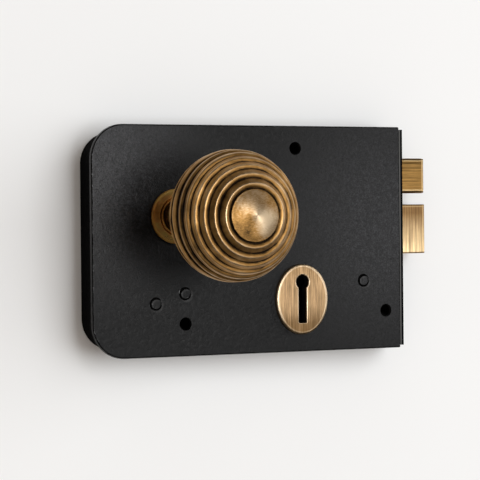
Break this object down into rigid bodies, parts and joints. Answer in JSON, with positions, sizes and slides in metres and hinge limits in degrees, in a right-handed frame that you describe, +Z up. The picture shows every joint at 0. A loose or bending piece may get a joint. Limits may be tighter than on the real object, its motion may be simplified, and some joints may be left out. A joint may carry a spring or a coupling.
{
  "type": "rim lock",
  "caption": "Rim lock for the inside face of a door: flat case and forend, reeded beehive knob that draws a sprung latch bolt, and a key-operated dead bolt held by levers.",
  "frame": {"origin": "on the spindle's axis, in the plane of the door's face that the back plate lies on", "axes": "+X towards the forend and the bolts, +Z up, +Y into the door, so the room and the knob are on the -Y side"},
  "size_m": [0.1663, 0.0912, 0.1],
  "materials": {
    "black_paint": "satin powder coat, fine orange-peel grain",
    "aged_brass": "aged, hand-rubbed, brown in the grooves",
    "bolt_brass": "brushed, lightly tarnished",
    "lever_brass": "stamped and tumbled",
    "bright_steel": "zinc plated",
    "spring_steel": "drawn wire",
    "dark_steel": "blackened"
  },
  "bodies": {
    "case": {"cover_plate": "black_paint", "case_band": "black_paint", "back_plate": "black_paint", "forend": "black_paint", "forend_screws": "bright_steel", "fixing_sleeves": "bright_steel", "lever_pivot_post": "black_paint", "lever_spring_post": "black_paint", "lever_stop_post": "black_paint", "bolt_guide_post": "bright_steel", "latch_guide": "bright_steel", "latch_guide_rivets": "bright_steel", "escutcheon": "aged_brass", "rose": "aged_brass", "latch_spring": "spring_steel", "front_lever_spring": "spring_steel", "rear_lever_spring": "spring_steel"},
    "knob": {"knob": "aged_brass", "knob_neck": "aged_brass", "knob_grub_screw": "dark_steel", "spindle": "bright_steel", "follower": "lever_brass"},
    "latch": {"latch_bolt": "bolt_brass", "latch_tail": "bright_steel", "latch_tail_rivets": "bright_steel", "latch_spring_rod": "bright_steel"},
    "dead_bolt": {"dead_bolt": "bolt_brass", "dead_bolt_tail": "bright_steel", "dead_bolt_rivets": "bright_steel", "bolt_stump": "bright_steel"},
    "front_lever": {"front_lever": "lever_brass"},
    "rear_lever": {"rear_lever": "lever_brass"}
  },
  "joints": [
    {"name": "knob_turn", "type": "hinge", "parent": "case", "child": "knob", "pos_m": [0, 0, 0], "axis": [0, -1, 0], "range_deg": [0, 42]},
    {"name": "latch_slide", "type": "slide", "parent": "case", "child": "latch", "axis": [-1, 0, 0], "range_m": [0, 0.0132], "stiffness_N_per_m": 250, "springref_m": -0.012, "deforming": ["latch_spring"]},
    {"name": "dead_bolt_slide", "type": "slide", "parent": "case", "child": "dead_bolt", "axis": [-1, 0, 0], "range_m": [0, 0.0132]},
    {"name": "front_lever_lift", "type": "hinge", "parent": "case", "child": "front_lever", "pos_m": [0.0044, 0, -0.0337], "axis": [0, -1, 0], "range_deg": [0, 4], "deforming": ["front_lever_spring"]},
    {"name": "rear_lever_lift", "type": "hinge", "parent": "case", "child": "rear_lever", "pos_m": [0.0044, 0, -0.0337], "axis": [0, -1, 0], "range_deg": [0, 4], "deforming": ["rear_lever_spring"]}
  ],
  "couplings": [
    {"joint": "latch_slide", "follows": "knob_turn", "m_per_rad": 0.018},
    {"joint": "front_lever_lift", "follows": "dead_bolt_slide", "rad_per_m": 5.28},
    {"joint": "rear_lever_lift", "follows": "dead_bolt_slide", "rad_per_m": 5.28}
  ]
}
